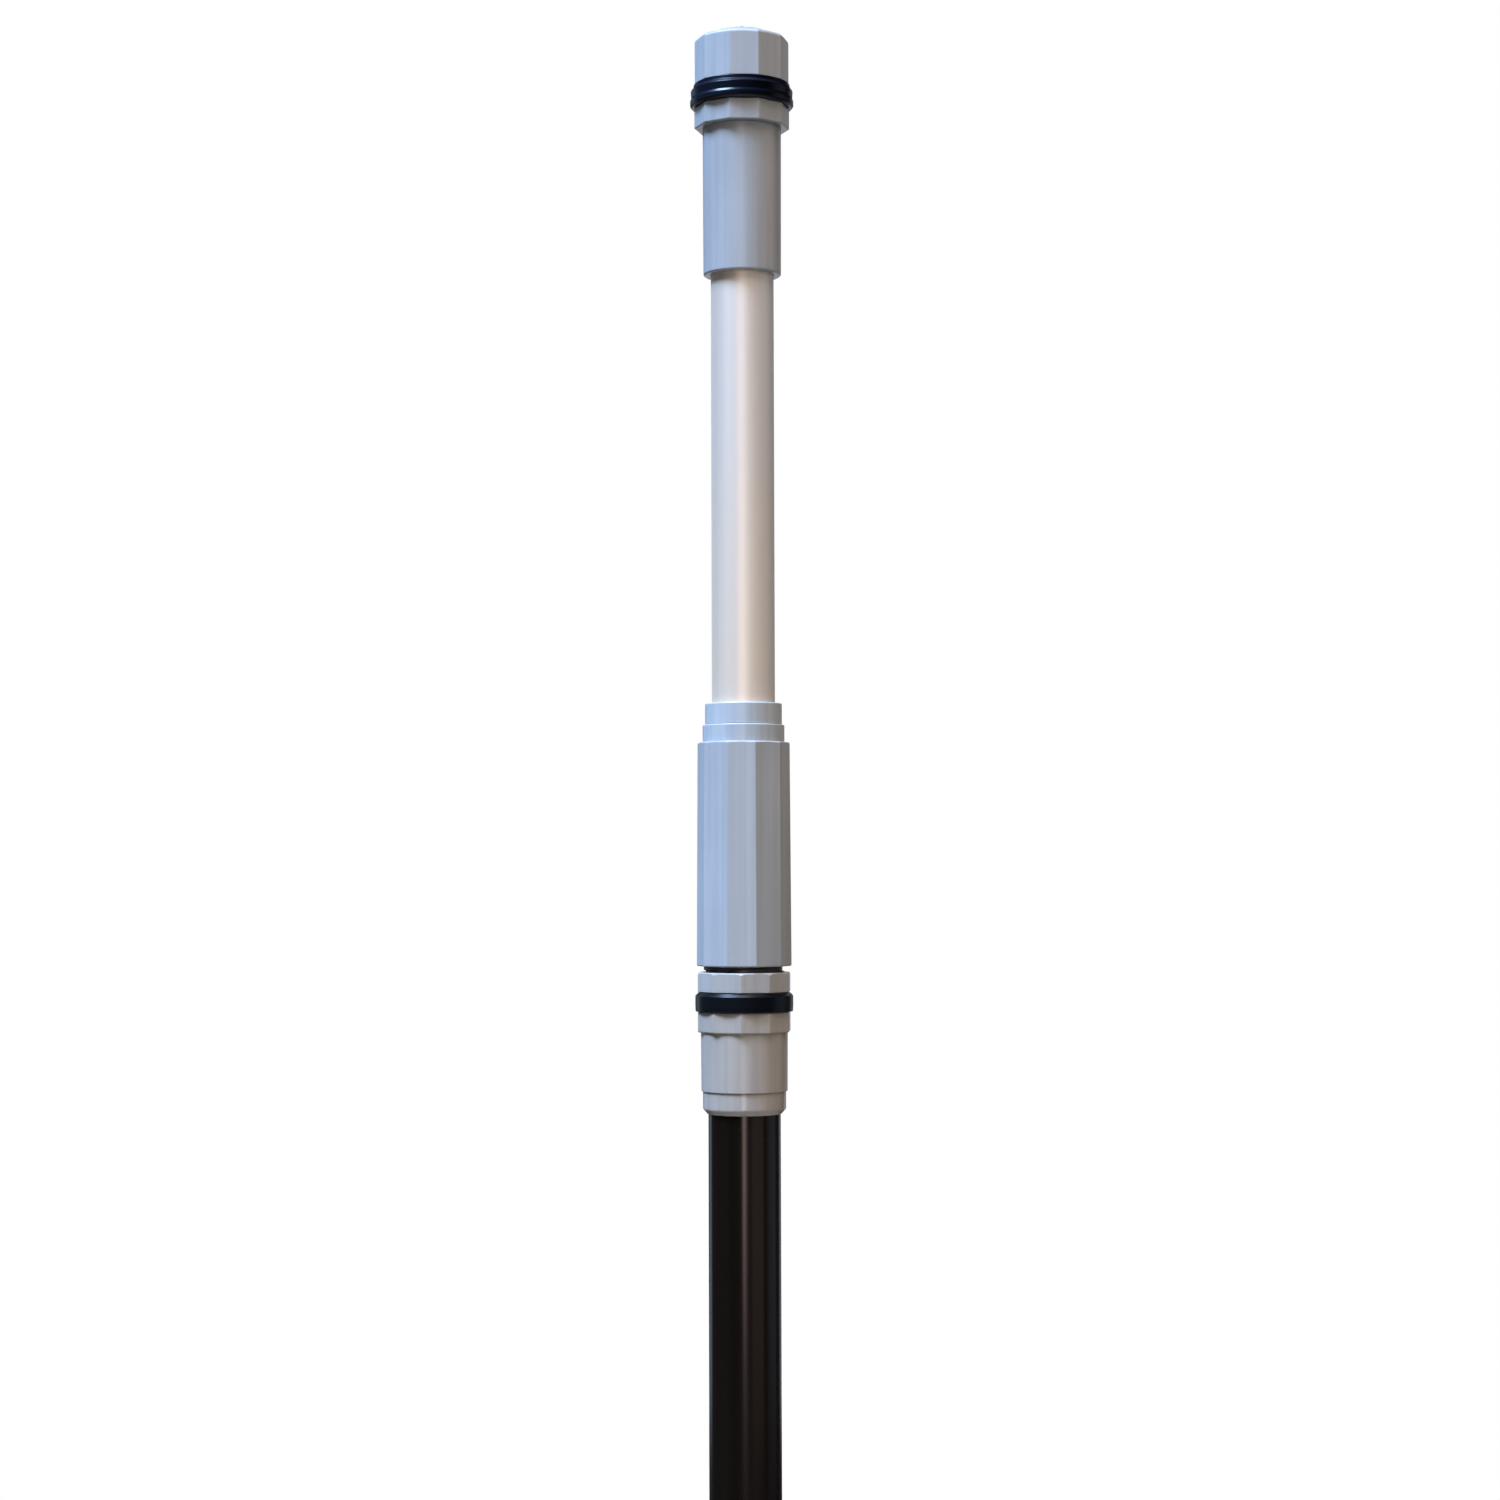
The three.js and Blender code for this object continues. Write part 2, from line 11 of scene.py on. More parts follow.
import bmesh
import bpy
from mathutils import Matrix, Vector


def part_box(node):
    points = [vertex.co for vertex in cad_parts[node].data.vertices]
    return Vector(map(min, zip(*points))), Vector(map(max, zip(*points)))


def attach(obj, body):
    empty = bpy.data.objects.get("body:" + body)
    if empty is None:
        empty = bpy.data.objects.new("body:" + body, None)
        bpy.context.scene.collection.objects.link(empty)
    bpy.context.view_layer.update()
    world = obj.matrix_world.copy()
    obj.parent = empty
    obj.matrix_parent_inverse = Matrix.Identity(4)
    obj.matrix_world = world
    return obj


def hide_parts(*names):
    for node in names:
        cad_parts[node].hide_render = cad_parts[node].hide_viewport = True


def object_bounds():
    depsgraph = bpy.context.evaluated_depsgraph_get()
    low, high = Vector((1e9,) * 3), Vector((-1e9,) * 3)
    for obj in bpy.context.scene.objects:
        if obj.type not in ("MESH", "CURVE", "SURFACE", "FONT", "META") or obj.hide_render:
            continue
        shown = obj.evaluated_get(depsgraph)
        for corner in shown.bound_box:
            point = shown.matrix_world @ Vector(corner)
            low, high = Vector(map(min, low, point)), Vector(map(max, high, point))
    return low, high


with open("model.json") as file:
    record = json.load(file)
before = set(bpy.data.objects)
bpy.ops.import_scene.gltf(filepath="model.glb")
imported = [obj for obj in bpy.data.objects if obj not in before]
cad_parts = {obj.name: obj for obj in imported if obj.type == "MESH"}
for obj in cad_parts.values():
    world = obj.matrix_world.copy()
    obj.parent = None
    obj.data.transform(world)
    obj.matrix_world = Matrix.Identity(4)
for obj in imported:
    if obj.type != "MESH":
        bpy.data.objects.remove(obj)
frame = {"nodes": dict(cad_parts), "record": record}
cad_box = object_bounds()

MM = 0.001
SIDES = 10
CORNER_ROUNDING = 1.0  # of the upright edges between two flats
FILLET_STEPS = 4
FLAT_STEPS = 10
ROUND_STEPS = 160
THREADED_STEPS = 150
HIDDEN_STEPS = 96  # for round pieces that are inside others
COINCIDENT = 1e-4  # distance in a section at which a side has no length
MERGE_DISTANCE = 1e-7  # in metres
SLIVER_LENGTH = 1e-8  # in metres

# Fits and threads, in millimetres
BOND_GAP = 0.12
SLIDE_GAP = 0.2
SEAT_GAP = 0.1  # between two pieces that rest on each other
PITCH = 4
THREAD_DEPTH = 1
RIDGE_FOOT = 2.2
RIDGE_CREST = 1.1
THREAD_GAP = 0.35
THREAD_ROW = 0.25  # height between two rows of points on a thread
THREAD_RUNOUT = 1.5  # extra height at each end of the core's thread, where it fades out
THREAD_RELIEF = 0.8  # size of the chamfer at each mouth of a threaded bore


# ---- Sizes read from the CAD nodes ----

def span(node):
    """Lowest and highest point of a CAD node, in millimetres."""
    low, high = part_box(node)
    return low.z / MM, high.z / MM


def reach(node, low=None, high=None):
    """Largest distance from the axis of a CAD node's points between two heights, in millimetres."""
    points = [v.co / MM for v in frame["nodes"][node].data.vertices]
    slack = 0.01
    return max(
        hypot(p.x, p.y)
        for p in points
        if (low is None or p.z >= low - slack) and (high is None or p.z <= high + slack)
    )


def turn_of(node):
    """Angle of the first corner of a ten-sided node, in degrees from -Y towards +X."""
    points = [v.co / MM for v in frame["nodes"][node].data.vertices]
    corner = max(points, key=lambda p: (round(hypot(p.x, p.y), 2), p.x))
    return degrees(atan2(corner.x, -corner.y)) % (360 / SIDES)


LOWER_TUBE_BORE_R = 14.5
UPPER_TUBE_BORE_R = 12.7
LOWER_TUBE_R = reach("outer_tube")
UPPER_TUBE_R = reach("inner_tube")
CORE_ROOT_R = reach("lock_core") - THREAD_DEPTH
CORE_DATUM = span("union_ring")[0] + 4  # where the core's thread starts, at -Y
SPIGOT_ROOT_R = 16
SPIGOT_DATUM = span("head_ring")[0] + 11.5  # where the head's thread starts, at -Y
ADAPTOR_TAIL_R = 14.9
ADAPTOR_TAIL_H = 19


# ---- Outlines and sections ----

def ten_sided(corner_r, turn, angle):
    """Distance from the axis to a ten-sided outline with rounded corners, at an angle in degrees."""
    half = radians(180 / SIDES)
    offset = abs((radians(angle - turn) + half) % (2 * half) - half)
    flat_r = corner_r * cos(half)
    centre_r = (flat_r - CORNER_ROUNDING) / cos(half)
    if offset < corner_half_angle(corner_r):
        return centre_r * cos(offset) + sqrt(CORNER_ROUNDING**2 - (centre_r * sin(offset)) ** 2)
    return flat_r / cos(half - offset)


def corner_half_angle(corner_r):
    """Half of the angle that one rounded corner takes up, in radians."""
    half = radians(180 / SIDES)
    centre_r = (corner_r * cos(half) - CORNER_ROUNDING) / cos(half)
    return atan2(CORNER_ROUNDING * sin(half), centre_r + CORNER_ROUNDING * cos(half))


def ten_sided_angles(corner_r, turn):
    """Angles that follow each rounded corner closely and each flat more coarsely."""
    half = degrees(corner_half_angle(corner_r))
    side = 360 / SIDES
    flat = side - 2 * half
    angles = []
    for side_index in range(SIDES):
        corner = turn + side * side_index
        angles += [corner + half * share for share in (-1, -0.5, 0, 0.5)]
        angles += [corner + half + flat * step / FLAT_STEPS for step in range(FLAT_STEPS)]
    return angles


def round_angles(count):
    return [360 * i / count for i in range(count)]


def rounded(corners, closed):
    """Points (distance, height, edge) along a section with its corners rounded off.

    edge is 1 at the middle of an outer corner, -1 at the middle of an inner one, and 0 on a flat."""
    points = []
    last = len(corners) - 1
    for i, (r, z, fillet) in enumerate(corners):
        if fillet == 0 or (not closed and i in (0, last)):
            points.append((r, z, 0.0))
            continue
        before = Vector(corners[i - 1][:2]) - Vector((r, z))
        after = Vector(corners[(i + 1) % len(corners)][:2]) - Vector((r, z))
        if min(before.length, after.length) < COINCIDENT:
            points += [(r, z, 0.0)] * (FILLET_STEPS + 1)
            continue
        points += fillet_points(Vector((r, z)), before, after, fillet)
    return points


def fillet_points(corner, before, after, fillet):
    """The arc that rounds off one corner, between the directions to the corners before and after it."""
    half = before.angle(after) / 2
    room = 0.45  # share of a side that one fillet may take
    cut = min(fillet / tan(half), room * before.length, room * after.length)
    start = before.normalized() * cut
    end = after.normalized() * cut
    outer = before.x * after.y - before.y * after.x < 0
    points = []
    for step in range(FILLET_STEPS + 1):
        t = step / FILLET_STEPS
        weight = (1 - t) ** 2 + 2 * t * (1 - t) * sin(half) + t**2
        point = corner + (start * (1 - t) ** 2 + end * t**2) / weight
        edge = 1 - abs(2 * t - 1)
        points.append((point.x, point.y, edge if outer else -edge))
    return points


def thread_share(z, angle, datum, grow=0):
    """Share of a thread's depth at a height and an angle: 0 at the root, 1 on the crest.

    datum is a height at which the thread's middle crosses -Y. grow widens it for a mating groove."""
    turns = (z - datum) / PITCH - angle / 360
    distance = abs(turns - round(turns)) * PITCH
    share = (RIDGE_FOOT / 2 + grow - distance) / ((RIDGE_FOOT - RIDGE_CREST) / 2)
    share = min(1, max(0, share))
    return share * share * (3 - 2 * share)


def thread_rows(start, stop, angle, root, datum, fade, grow=0):
    """Points along a threaded stretch of a section. Its ends fade out over a height of fade."""
    rows = ceil(abs(stop - start) / THREAD_ROW)
    points = []
    for row in range(1, rows):
        z = start + (stop - start) * row / rows
        nearest_end = min(abs(z - start), abs(z - stop))
        faded = min(1, nearest_end / fade)
        points.append((root + THREAD_DEPTH * thread_share(z, angle, datum, grow) * faded, z, 0))
    return points


def bore_thread(start, stop, angle, root, datum):
    """The groove in a bore that a thread with the same datum turns in."""
    return thread_rows(start, stop, angle, root, datum, fade=0.6, grow=THREAD_GAP)


# ---- Pieces ----

BODY_OF = {
    node: body for body, nodes in frame["record"]["behaviour"]["bodies"].items() for node in nodes
}
SLOT_OF = {part["node"]: part["material_slot"] for part in frame["record"]["subparts"]}
MATERIALS = {}  # by material slot, or by node: a glossier end ring, and copies of a slot's colour made lighter or bluer for the light on a part, which is painted light


def swept_mesh(name, angles, section, closed):
    """A section swept once round the axis. Its edge values stay with its points, for the finish."""
    columns = [rounded(section(angle), closed) for angle in angles]
    rows = len(columns[0])
    vertices = []
    edges = []
    for angle, column in zip(angles, columns):
        across, towards = sin(radians(angle)), -cos(radians(angle))
        for r, z, edge in column:
            vertices.append((r * across * MM, r * towards * MM, z * MM))
            edges.append(edge)
    faces = []
    for j in range(len(angles)):
        here, there = j * rows, (j + 1) % len(angles) * rows
        for i in range(rows if closed else rows - 1):
            up = (i + 1) % rows
            faces.append((here + i, there + i, there + up, here + up))
    mesh = bpy.data.meshes.new(name)
    mesh.from_pydata(vertices, [], faces)
    mesh.attributes.new("edge", "FLOAT", "POINT").data.foreach_set("value", edges)
    clean(mesh)
    mesh.shade_smooth()
    return mesh


def loft(node, angles, section, closed=True):
    """Makes the fine piece that stands for a CAD node, rides on its body and takes its finish."""
    mesh = swept_mesh(node + "_fine", angles, section, closed)
    mesh.materials.append(MATERIALS.get(node) or MATERIALS[SLOT_OF[node]])
    obj = bpy.data.objects.new(node + "_fine", mesh)
    bpy.context.scene.collection.objects.link(obj)
    normals = obj.modifiers.new("flat_faces_stay_flat", "WEIGHTED_NORMAL")
    normals.weight = 50
    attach(obj, BODY_OF[node])
    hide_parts(node)
    return obj


def clean(mesh):
    """Merges the points that coincide, on the axis and where a fillet has no room."""
    work = bmesh.new()
    work.from_mesh(mesh)
    bmesh.ops.remove_doubles(work, verts=work.verts, dist=MERGE_DISTANCE)
    bmesh.ops.dissolve_degenerate(work, edges=work.edges, dist=SLIVER_LENGTH)
    work.to_mesh(mesh)
    work.free()


def turned(node, corners, steps=ROUND_STEPS, closed=True):
    """A round piece, with the same section at every angle. A section that isn't closed ends on the axis."""
    loft(node, round_angles(steps), lambda angle: corners, closed)


def pipe_section(inner, outer, low, high):
    """Section of a plain tube or ring."""
    return [(inner, low, 0.3), (outer, low, 0.3), (outer, high, 0.3), (inner, high, 0.3)]


# ---- Foot and tubes ----

def make_foot_cap():
    """Rubber cup with three grooves in its tread and five round its side."""
    low, high = span("foot_cap")
    outer = reach("foot_cap")
    bore = LOWER_TUBE_R + BOND_GAP
    floor = low + 4
    toe = 2.2  # size of the sloped edge round the tread
    groove_width = 1.6
    tread_count, tread_from, tread_step, tread_depth = 3, 5, 3.5, 0.8
    tread = []
    for i in range(tread_count):
        r = tread_from + tread_step * i
        tread += [
            (r, low, 0.15),
            (r + 0.3, low + tread_depth, 0.2),
            (r + groove_width - 0.3, low + tread_depth, 0.2),
            (r + groove_width, low, 0.15),
        ]
    side_count, side_from, side_step, side_depth = 5, 11, 3, 0.7
    grooves = []
    for i in range(side_count):
        z = low + side_from + side_step * i
        grooves += [
            (outer, z, 0.3),
            (outer - side_depth, z + 0.4, 0.3),
            (outer - side_depth, z + groove_width - 0.4, 0.3),
            (outer, z + groove_width, 0.3),
        ]
    corners = [
        (0, low, 0),
        *tread,
        (outer - toe, low, 0.5),
        (outer, low + toe, 0.8),
        *grooves,
        (outer, high - 0.4, 0.4),
        (outer - 0.8, high, 0.4),
        (bore, high, 0.3),
        (bore, floor, 0.3),
        (0, floor, 0),
    ]
    turned("foot_cap", corners, closed=False)


def make_foot_plug():
    low, high = span("foot_plug")
    outer = reach("foot_plug")
    wall = 2.4
    floor = low + 3
    lead = 0.6
    corners = [
        (0, low, 0),
        (outer - lead, low, 0.3),
        (outer, low + lead, 0.3),
        (outer, high, 0.4),
        (outer - wall, high, 0.4),
        (outer - wall, floor, 0.5),
        (0, floor, 0),
    ]
    turned("foot_plug", corners, HIDDEN_STEPS, closed=False)


def make_tubes():
    for node, bore in (("outer_tube", LOWER_TUBE_BORE_R), ("inner_tube", UPPER_TUBE_BORE_R)):
        turned(node, pipe_section(bore, reach(node), *span(node)))


# ---- Socket ----

def make_socket_end_ring():
    low, high = span("socket_end_ring")
    outer = reach("socket_end_ring")
    bore = LOWER_TUBE_R + BOND_GAP
    corners = [
        (bore, low, 0.3),
        (outer - 1.9, low, 1.0),
        (outer, low + 2.2, 1.6),
        (outer, high, 0.2),
        (bore, high, 0.1),
    ]
    turned("socket_end_ring", corners)


def make_socket_body():
    """A plain skirt with a ten-sided flange on top, and a web inside between the tube and the core."""
    low, high = span("socket_body")
    flange_low = low + 26
    corner_r = reach("socket_body")
    turn = turn_of("socket_body")
    skirt_low_r = reach("socket_body", low, low)
    skirt_high_r = skirt_low_r + 0.15
    tube_seat_r = LOWER_TUBE_R + BOND_GAP
    slide_r = UPPER_TUBE_R + SLIDE_GAP
    core_seat_r = 16.9 + BOND_GAP
    web_low = span("outer_tube")[1] + SEAT_GAP
    web_high = span("lock_core")[0] - SEAT_GAP

    def section(angle):
        flat = ten_sided(corner_r, turn, angle)
        return [
            (tube_seat_r, low, 0.2),
            (skirt_low_r, low, 0.25),
            (skirt_high_r, flange_low, 0.3),
            (max(flat - 0.25, skirt_high_r + 0.02), flange_low, 0.2),
            (flat, flange_low + 0.5, 0.3),
            (flat, high, 0.4),
            (core_seat_r, high, 0.3),
            (core_seat_r, web_high, 0.2),
            (slide_r, web_high, 0.2),
            (slide_r, web_low, 0.2),
            (tube_seat_r, web_low, 0.2),
        ]

    loft("socket_body", ten_sided_angles(corner_r, turn), section)


# ---- Coupling ----

def make_lock_core():
    low, high = span("lock_core")
    bore = UPPER_TUBE_R + SLIDE_GAP
    inside_barrel = 13  # height of the thread that the barrel covers
    thread_low = CORE_DATUM - THREAD_RUNOUT
    thread_high = span("lock_barrel")[0] + inside_barrel + THREAD_RUNOUT

    def section(angle):
        return [
            (bore, low, 0.3),
            (CORE_ROOT_R, low, 0.3),
            (CORE_ROOT_R, thread_low, 0),
            *thread_rows(thread_low, thread_high, angle, CORE_ROOT_R, CORE_DATUM, fade=2.5),
            (CORE_ROOT_R, thread_high, 0),
            (CORE_ROOT_R, high, 0.4),
            (bore, high, 0.4),
        ]

    loft("lock_core", round_angles(THREADED_STEPS), section)


def make_union_ring():
    low, high = span("union_ring")
    outer = reach("union_ring")
    bore = reach("lock_core") + 0.3
    corners = [
        (bore, low, 0.3),
        (outer - 0.15, low, 0.5),
        (outer, low + 3, 3),
        (outer - 0.05, high - 1.5, 0.35),
        (outer - 1.1, high - 0.35, 0.3),
        (outer - 1.6, high, 0.3),
        (bore, high, 0.3),
    ]
    turned("union_ring", corners)


def make_back_nut():
    """A ten-sided nut whose conical crown cuts each flat's upper edge to an arc."""
    low, high = span("back_nut")
    corner_r = reach("back_nut")
    turn = turn_of("back_nut")
    bore = CORE_ROOT_R + THREAD_GAP
    mouth = bore + THREAD_RELIEF
    thread_low = low + THREAD_RELIEF
    thread_high = high - THREAD_RELIEF
    crown_r = corner_r - 0.9  # where the crown meets the top face
    crown_slope = 0.9
    least_drop = 0.35

    def section(angle):
        flat = ten_sided(corner_r, turn, angle)
        arc = high - max(least_drop, (flat - crown_r) / crown_slope)
        return [
            (mouth, low, 0.2),
            (flat - 0.3, low, 0.25),
            (flat, low + 0.3, 0.25),
            (flat, arc, 0.3),
            (min(crown_r, flat - 0.4), high, 0.3),
            (mouth, high, 0.2),
            (bore, thread_high, 0),
            *bore_thread(thread_high, thread_low, angle, bore, CORE_DATUM),
            (bore, thread_low, 0),
        ]

    loft("back_nut", ten_sided_angles(corner_r, turn), section)


def make_lock_barrel():
    """A long ten-sided grip with a round neck. Its thread, chamber and cover's pocket are inside."""
    low, high = span("lock_barrel")
    thread_high = low + 15.5
    chamber_low = low + 17
    shoulder = low + 96
    grip_high = low + 99
    pocket_low = low + 101.2
    bottom_r = reach("lock_barrel", low, low + 2)
    top_r = reach("lock_barrel", grip_high - 2, grip_high)
    neck_r = reach("lock_barrel", high - 0.6, high)
    turn = turn_of("lock_barrel")
    bore = CORE_ROOT_R + THREAD_GAP
    mouth = bore + 0.9
    chamber_r = 17.6
    through_r = UPPER_TUBE_R + 0.5
    pocket_r = 16.4
    neck_low = grip_high + 0.3  # above the grip's rounded edge

    def section(angle):
        return [
            (mouth, low, 0.3),
            (ten_sided(bottom_r, turn, angle), low, 0.7),
            (ten_sided(top_r, turn, angle), grip_high, 0.9),
            (neck_r, grip_high, 0.25),
            (neck_r, high, 0.6),
            (pocket_r, high, 0.2),
            (pocket_r, pocket_low, 0.2),
            (through_r, pocket_low, 0.3),
            (through_r, shoulder, 0.3),
            (chamber_r, shoulder, 0.3),
            (chamber_r, chamber_low, 0.3),
            (bore, thread_high, 0.3),
            *bore_thread(thread_high, low + THREAD_RELIEF, angle, bore, CORE_DATUM),
            (bore, low + THREAD_RELIEF, 0),
        ]

    barrel = loft("lock_barrel", ten_sided_angles(top_r, turn), section).data
    # painted light: faces above the grip get a lighter copy of the grey, for the light that falls on the
    # neck
    barrel.materials.append(MATERIALS["barrel_neck"])
    for face in barrel.polygons:
        if face.center.z > neck_low * MM:
            face.material_index = 1


def make_wiper_collar():
    low, high = span("wiper_collar")
    outer = reach("wiper_collar")
    seat = low + 1.6
    bore = UPPER_TUBE_R + 0.3
    spigot_r = reach("wiper_seal")
    corners = [
        (bore, low, 0.2),
        (spigot_r, low, 0.2),
        (spigot_r, seat, 0.1),
        (outer, seat, 0.3),
        (outer, high, 0.6),
        (bore + 0.5, high, 0.3),
        (bore, high - 0.6, 0.3),
    ]
    turned("wiper_collar", corners)


def make_wiper_seal():
    low, high = span("wiper_seal")
    outer = reach("wiper_seal")
    lip_r = UPPER_TUBE_R + 0.15
    root_r = lip_r + 1.05
    corners = [
        (root_r, low, 0.2),
        (outer, low, 0.3),
        (outer, high, 0.3),
        (lip_r, high, 0.2),
        (lip_r, high - 1, 0.2),
    ]
    turned("wiper_seal", corners)


COLLET_TIP_R = 15.3
COLLET_BASE_H = 10
COLLET_STRAIGHT_H = 22  # from its foot to where its cone starts


def make_lock_collet():
    """A sleeve whose upper part is slit into six fingers with a cone outside."""
    low, high = span("lock_collet")
    bore = UPPER_TUBE_R + 0.15
    outer = reach("lock_collet")
    base = low + COLLET_BASE_H
    straight = low + COLLET_STRAIGHT_H
    fingers = 6
    finger_steps = 20
    slit = 1.6
    half_slit = degrees(slit / 2 / outer)
    hair = 0.01  # degrees between the foot and the top of a slit's wall

    def section(angle):
        offset = abs((angle + 180 / fingers) % (360 / fingers) - 180 / fingers)
        top = base if offset <= half_slit else high
        return [
            (bore, low, 0),
            (outer, low, 0),
            (outer, min(straight, top), 0),
            (COLLET_TIP_R if top == high else outer, top, 0),
            (bore, top, 0),
        ]

    angles = []
    for finger in range(fingers):
        middle = 360 / fingers * finger
        angles += [middle - half_slit, middle, middle + half_slit]
        start = middle + half_slit + hair
        finger_angle = 360 / fingers - 2 * half_slit - 2 * hair
        angles += [start + finger_angle * i / finger_steps for i in range(finger_steps + 1)]
    loft("lock_collet", angles, section)


def make_thrust_ring():
    """A ring whose conical bore pushes on the collet's cone."""
    low, high = span("thrust_ring")
    collet_low, collet_high = span("lock_collet")
    collet_r = reach("lock_collet")
    straight = collet_low + COLLET_STRAIGHT_H
    slope = (collet_r - COLLET_TIP_R) / (collet_high - straight)
    cone_gap = 0.3
    corners = pipe_section(collet_r, reach("thrust_ring"), low, high)
    corners[0] = (collet_r + cone_gap - slope * (low - straight), low, 0.2)
    corners[3] = (collet_r + cone_gap - slope * (high - straight), high, 0.2)
    turned("thrust_ring", corners)


# ---- Upper tube's bush and head ----

def make_guide_bush():
    low, high = span("guide_bush")
    collar_r = reach("guide_bush")
    spigot_r = UPPER_TUBE_BORE_R - 0.15
    bore = spigot_r - 2
    shoulder = span("inner_tube")[0] - SEAT_GAP
    corners = [
        (bore, low, 0.3),
        (collar_r - 0.5, low, 0.3),
        (collar_r, low + 0.9, 0.4),
        (collar_r, shoulder, 0.3),
        (spigot_r, shoulder, 0.1),
        (spigot_r, high - 1, 0.3),
        (spigot_r - 0.5, high, 0.2),
        (bore, high, 0.3),
    ]
    turned("guide_bush", corners)


def make_head_sleeve():
    low, high = span("head_sleeve")
    outer = reach("head_sleeve")
    tube_seat_r = UPPER_TUBE_R + BOND_GAP
    tail_seat_r = ADAPTOR_TAIL_R + BOND_GAP
    step = span("inner_tube")[1] + SEAT_GAP
    corners = [
        (tube_seat_r, low, 0.4),
        (outer - 0.2, low, 0.9),
        (outer, high, 0.2),
        (tail_seat_r, high, 0.2),
        (tail_seat_r, step, 0.2),
        (tube_seat_r, step, 0.2),
    ]
    turned("head_sleeve", corners)


def make_head_adaptor():
    """A tail with a groove for the O-ring, a ten-sided flange and the threaded spigot for the cap."""
    low, high = span("head_adaptor")
    flange_low = low + ADAPTOR_TAIL_H
    flange_high = span("head_ring")[0] - SEAT_GAP
    thread_low = SPIGOT_DATUM - 1.3
    thread_high = high - 1.2
    corner_r = reach("head_adaptor")
    turn = turn_of("head_adaptor")
    waterway_r = 10
    ring_low, ring_high = span("adaptor_o_ring")
    groove_low = ring_low - SEAT_GAP
    groove_high = ring_high + SEAT_GAP
    groove_r = ADAPTOR_TAIL_R - 1.9

    def section(angle):
        flat = ten_sided(corner_r, turn, angle)
        return [
            (waterway_r, low, 0.5),
            (ADAPTOR_TAIL_R, low, 0.6),
            (ADAPTOR_TAIL_R, groove_low, 0.1),
            (groove_r, groove_low, 0.1),
            (groove_r, groove_high, 0.1),
            (ADAPTOR_TAIL_R, groove_high, 0.1),
            (ADAPTOR_TAIL_R, flange_low, 0.1),
            (flat - 0.3, flange_low, 0.3),
            (flat, flange_low + 0.5, 0.4),
            (flat, flange_high, 0.4),
            (SPIGOT_ROOT_R, flange_high, 0.2),
            (SPIGOT_ROOT_R, thread_low, 0),
            *thread_rows(thread_low, thread_high, angle, SPIGOT_ROOT_R, SPIGOT_DATUM, fade=2),
            (SPIGOT_ROOT_R, thread_high, 0),
            (SPIGOT_ROOT_R - 1, high, 0.3),
            (waterway_r, high, 0.5),
        ]

    loft("head_adaptor", ten_sided_angles(corner_r, turn), section)


def make_o_ring():
    low, high = span("adaptor_o_ring")
    wire_r = (high - low) / 2
    centre_r = reach("adaptor_o_ring") - wire_r
    steps = 20
    circle = []
    for i in range(steps):
        around = radians(360 * i / steps)
        circle.append((centre_r + wire_r * cos(around), low + wire_r + wire_r * sin(around), 0))
    turned("adaptor_o_ring", circle)


def make_head_ring():
    """Rubber ring with a bead low on its side, an upright band, a sloped shoulder and a lip."""
    low, high = span("head_ring")
    outer = reach("head_ring")
    lip_r = 21.5
    bore = SPIGOT_ROOT_R + 0.3
    corners = [
        (bore, low, 0.3),
        (outer - 0.9, low, 0.5),
        (outer, low + 0.9, 0.9),
        (outer, low + 2.8, 0.9),
        (outer - 0.5, low + 3.9, 0.6),
        (outer - 0.3, high - 3.0, 0.6),
        (lip_r + 0.1, high - 1.6, 0.3),
        (lip_r, high, 0.4),
        (bore, high, 0.3),
    ]
    turned("head_ring", corners)


def make_cap():
    """A ten-sided cup with a low dome on top and a moulding nub at its middle."""
    low, high = span("cap")
    nub_h, dome_h = 2.5, 3.6
    crown = high - nub_h
    rim = crown - dome_h
    ceiling = rim - 2.6
    thread_low = low + THREAD_RELIEF
    thread_high = ceiling - 1.5
    corner_r = reach("cap")
    turn = turn_of("cap")
    dome_r = 16
    dome_steps = 12
    nub_r = 1.2
    bore = SPIGOT_ROOT_R + THREAD_GAP

    dome = []
    for i in range(dome_steps + 1):
        r = dome_r + (nub_r - dome_r) * i / dome_steps
        fillet = 0.4 if i in (0, dome_steps) else 0
        dome.append((r, rim + dome_h * (1 - (r / dome_r) ** 4), fillet))

    def section(angle):
        flat = ten_sided(corner_r, turn, angle)
        return [
            (0, ceiling, 0),
            (bore, ceiling, 0.4),
            (bore, thread_high, 0),
            *bore_thread(thread_high, thread_low, angle, bore, SPIGOT_DATUM),
            (bore, thread_low, 0),
            (bore + THREAD_RELIEF, low, 0.2),
            (flat, low, 0.35),
            (flat, rim, 2.1),
            *dome,
            (nub_r - 0.3, high - 0.3, 0.3),
            (nub_r - 0.6, high, 0.2),
            (0, high, 0),
        ]

    loft("cap", ten_sided_angles(corner_r, turn), section, closed=False)


def make_cap_liner():
    low, high = span("cap_liner")
    outer = reach("cap_liner")
    corners = [(0, low, 0), (outer, low, 0.3), (outer, high, 0.3), (0, high, 0)]
    turned("cap_liner", corners, HIDDEN_STEPS, closed=False)


# ---- Shader nodes ----

def feed(tree, socket, value):
    """Links an input to another node's output, or sets it to a value."""
    if isinstance(value, bpy.types.NodeSocket):
        tree.links.new(value, socket)
    else:
        socket.default_value = value


def add_node(tree, kind, inputs=None, **settings):
    """A shader node with its settings made and its inputs set or linked."""
    made = tree.nodes.new(kind)
    for key, value in settings.items():
        setattr(made, key, value)
    for key, value in (inputs or {}).items():
        feed(tree, made.inputs[key], value)
    return made


